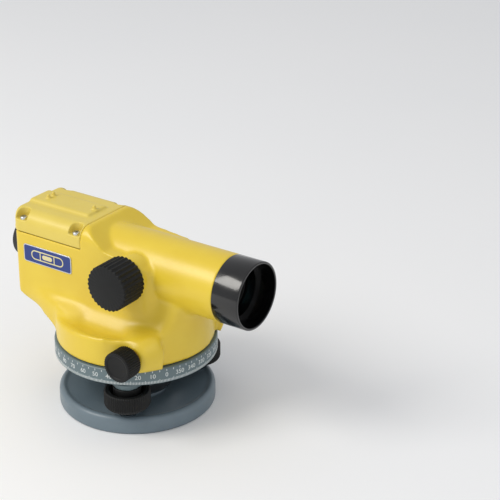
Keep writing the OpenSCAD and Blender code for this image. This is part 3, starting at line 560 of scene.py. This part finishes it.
# ---- Label plate ----
# A thin aluminium foil plate glued in the side wall, printed deep blue inside a bare metal edge.
# It carries a plain drawing of a level vial, with its bubble between two lines, and no lettering.
foil = metal("bright aluminium foil", "#C9CCD0", "#D8DADC", 0.3, 0.5)
label_low, label_high = (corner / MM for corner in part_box("label_plate"))
ink_t = 0.04
show("label_foil", edged("label_plate"), foil, "alidade", ["label_plate"], bevel=0.12)


def printed(name, outlines, y, material):
    """Ink on the label: flat shapes given by their (x, z) corners in mm, a hair thick."""
    work = bmesh.new()
    for outline in outlines:
        face = work.faces.new([work.verts.new((x * MM, y * MM, z * MM)) for x, z in outline])
        grown = bmesh.ops.extrude_face_region(work, geom=[face])
        bmesh.ops.translate(work, vec=(0, -ink_t * MM, 0),
                            verts=[item for item in grown["geom"] if isinstance(item, bmesh.types.BMVert)])
    bmesh.ops.recalc_face_normals(work, faces=work.faces)
    mesh = bpy.data.meshes.new(name)
    work.to_mesh(mesh)
    work.free()
    show(name, mesh, material, "alidade")


def rounded_box(x0, z0, x1, z1, radius):
    """The corners of a rounded rectangle, eight to each turn."""
    return [(cx + radius * math.cos(math.radians(a)), cz + radius * math.sin(math.radians(a)))
            for cx, cz, first in ((x1 - radius, z1 - radius, 0), (x0 + radius, z1 - radius, 90),
                                  (x0 + radius, z0 + radius, 180), (x1 - radius, z0 + radius, 270))
            for a in [first + 90 * i / 8 for i in range(9)]]


blue_ink = moulded("deep blue printing ink", "#17327A", "#1B3882", 0.45, 0.4, 0.05, coat=0.1)
pale_ink = moulded("pale yellow printing ink", "#D9CF9A", "#E2D9A8", 0.5, 0.4, 0.05)
bare_edge = 0.7
printed("label_ground",
        [rounded_box(label_low.x + bare_edge, label_low.z + bare_edge,
                     label_high.x - bare_edge, label_high.z - bare_edge, 1.5)],
        label_low.y, blue_ink)
label_x = (label_low.x + label_high.x) / 2
label_z = (label_low.z + label_high.z) / 2
printed("label_vial", [rounded_box(label_x - 15, label_z - 3.7, label_x + 15, label_z + 3.7, 3.6)],
        label_low.y - ink_t, pale_ink)
printed("label_vial_inside", [rounded_box(label_x - 14.1, label_z - 2.8, label_x + 14.1, label_z + 2.8, 2.7)],
        label_low.y - 2 * ink_t, blue_ink)
printed("label_bubble",
        [rounded_box(label_x - 4.6, label_z - 1.7, label_x + 4.6, label_z + 1.7, 1.65),
         rounded_box(label_x - 6.9, label_z - 2.8, label_x - 6.1, label_z + 2.8, 0.1),
         rounded_box(label_x + 6.1, label_z - 2.8, label_x + 6.9, label_z + 2.8, 0.1)],
        label_low.y - 3 * ink_t, pale_ink)


# ---- Objective ----
# A gloss black hood screwed on the barrel, round a blackened cell that holds a cemented pair of coated lenses.
# The barrel behind it is lined with a matt black tube that kills stray light.
def coated_glass(name, tint):
    """Optical glass: clear, with a faint haze of dust and a thin-film coating's colour in its reflections."""
    material, tree = blank(name)
    place = add(tree, "ShaderNodeTexCoord")
    dust = add(tree, "ShaderNodeTexNoise", inputs={"Vector": place.outputs["Object"], "Scale": 400.0})
    haze = add(tree, "ShaderNodeMapRange", inputs={"Value": dust.outputs["Fac"], "From Min": 0.4, "From Max": 0.8,
                                                   "To Min": 0.0, "To Max": 0.04})
    tone = add(tree, "ShaderNodeValToRGB", inputs={"Fac": dust.outputs["Fac"]})
    tone.color_ramp.elements[0].color = linear(tint)
    tone.color_ramp.elements[1].color = linear("#F4FAFA")
    surface = add(tree, "ShaderNodeBsdfPrincipled",
                  inputs={"Base Color": tone.outputs["Color"], "Roughness": haze.outputs["Result"], "IOR": 1.52,
                          "Transmission Weight": 1.0, "Thin Film Thickness": 420.0, "Thin Film IOR": 1.38})
    add(tree, "ShaderNodeOutputMaterial", inputs={"Surface": surface.outputs["BSDF"]})
    return material


hood_gloss = moulded("gloss black enamel", "#050506", "#070708", 0.2, 8.0, 0.0, coat=0.4)
matt_black = moulded("matt black lining paint", "#080808", "#0C0C0C", 0.9, 0.3, 0.3)
hood_outline = [(19, 78), (20.2, 78), (20.2, 84), (24.3, 84, 0.3), (24.3, 105.2, 0.8), (22.5, 105.2, 0.5),
                (22.5, 91), (19, 91)]
show("sunshade", turned("sunshade", hood_outline, at(0, 0, sight, ALONG_X), 128), hood_gloss, "alidade",
     ["objective_hood"])
show("barrel_lining", turned("barrel_lining", [(19.4, 44.5), (20.2, 44.5), (20.2, 62.8), (19.4, 62.8)],
                             at(0, 0, sight, ALONG_X)), matt_black, "alidade")
show("lens_cell", edged("objective_cell"), matt_black, "alidade", ["objective_cell"], bevel=0.2)
show("lens_ring", edged("objective_ring"), matt_black, "alidade", ["objective_ring"], bevel=0.3)
lens_glass = coated_glass("coated optical glass", "#DCEFEA")
show("front_lens", edged("objective_crown"), lens_glass, "alidade", ["objective_crown"])
show("second_lens", edged("objective_flint"), lens_glass, "alidade", ["objective_flint"])


# ---- Focusing drive ----
# A blackened brass cell slides in the barrel with the focusing lens, driven by a rack and a small steel pinion.
# The knob on the pinion's end is moulded in black plastic, with wide rounded flutes and a plain face.
blackened_brass = metal("blackened brass", "#1E1C1A", "#2A2724", 0.5, 0.2, (10, 1, 1))
refinish(blackened_brass, "focus_cell")
refinish(ground_steel, "focus_rack", "focus_pinion")
refinish(lens_glass, "focus_lens")
focus_outline = [(2.05, 32), (15.5, 32, 0.4), (16.7, 33.2, 0.5), (16.7, 54, 1.1), (0, 54), (0, 51), (2.05, 51)]
FLUTE = (0.0, 0.05, 0.35, 0.75, 0.95, 0.95, 0.75, 0.35)
show("focus_grip", turned("focus_grip", focus_outline, at(pinion.x, 0, pinion.z, ALONG_Y), 30 * len(FLUTE),
                          ribs=(14.6, FLUTE)), knob_plastic, "focus_drive", ["focus_knob"])


# ---- Compensator ----
# A milled aluminium frame carries two fixed prisms; between them a brass pendulum with a third prism hangs on
# four steel tapes. A copper vane below it swings over two magnets, which stop it in a second or two.
milled_aluminium = metal("milled aluminium", "#A4A8AB", "#B6BABC", 0.35, 0.3, (12, 1, 1))
refinish(milled_aluminium, "compensator_frame")
refinish(lens_glass, "fixed_prisms", "pendulum_prism", "reticle", "eyepiece_lenses")
refinish(metal("sheet copper", "#B06A42", "#C27B50", 0.3, 0.4, (1, 10, 1)), "damper_vane")
refinish(plated_steel, "damper_magnets", "reticle_screws")


# ---- Eyepiece ----
# A black anodised tube with three lenses and a field stop, which screws in and out of the housing.
# A moulded rubber cup with a ribbed grip and a soft lip is pulled over its end.
eyecup_rubber = moulded("black eyecup rubber", "#1B1B1B", "#232323", 0.6, 0.4, 0.3)
refinish(black_anodised, "eyepiece_tube")
eye_turn = Matrix.Rotation(math.radians(-90), 4, "Y")
cup_outline = [(14.2, 89.2), (15.6, 89.2, 0.3), (16, 90, 0.4), (16, 96.4, 0.7), (15, 98.4, 1.0), (14.6, 102.5, 0.5),
               (13.6, 103.5, 0.4), (12.4, 103.5, 0.5), (10, 97.4, 0.3), (10, 97), (14.2, 97)]
show("rubber_cup", turned("rubber_cup", cup_outline, at(0, 0, eye, eye_turn), 48 * len(KNOB_RIB),
                          ribs=(15.2, KNOB_RIB)), eyecup_rubber, "eyepiece", ["eyecup"])
show("field_stop", turned("field_stop", [(3.2, 82.6), (8.45, 82.6), (8.45, 83.4), (3.2, 83.4)],
                          at(0, 0, eye, eye_turn)), matt_black, "eyepiece")


# ---- Circular level ----
# A yellow enamelled holder on three adjusting screws, with a glass vial of pale green spirit, a bubble and a ring.
# A silvered mirror in a black frame folds over it on a steel pin, so that it can be read from the eyepiece.
show("level_holder", edged("bubble_holder"), yellow_enamel, "alidade", ["bubble_holder"], bevel=0.35)
refinish(plated_steel, "bubble_screws", "mirror_pin")
vial_low, vial_high = (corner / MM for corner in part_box("bubble_vial"))
vial_at = at((vial_low.x + vial_high.x) / 2, (vial_low.y + vial_high.y) / 2, vial_high.z)
spirit = moulded("pale green spirit under glass", "#A9B85C", "#B7C46A", 0.12, 2.0, 0.02, coat=1.0)
show("level_vial", turned("level_vial", [(0, -7.5), (8.5, -7.5), (8.5, 0, 0.5), (0, 0)], vial_at, 64), spirit,
     "alidade", ["bubble_vial"])
show("level_bubble", turned("level_bubble", [(0, 0), (2.1, 0), (1.8, 0.12), (1.0, 0.2), (0, 0.22)], vial_at, 48),
     moulded("air bubble", "#D8E09A", "#E4EAB0", 0.08, 2.0, 0.02, coat=1.0), "alidade")
show("level_mark", turned("level_mark", [(2.7, 0), (3.1, 0), (3.1, 0.06), (2.7, 0.06)], vial_at, 48), matt_black,
     "alidade")
show("mirror_carrier", edged("mirror_frame"), knob_plastic, "mirror", ["mirror_frame"], bevel=0.25)
silver = metal("silvered glass", "#E2E6E8", "#ECEEEF", 0.09, 3.0, depth=0.01)
refinish(silver, "bubble_mirror")
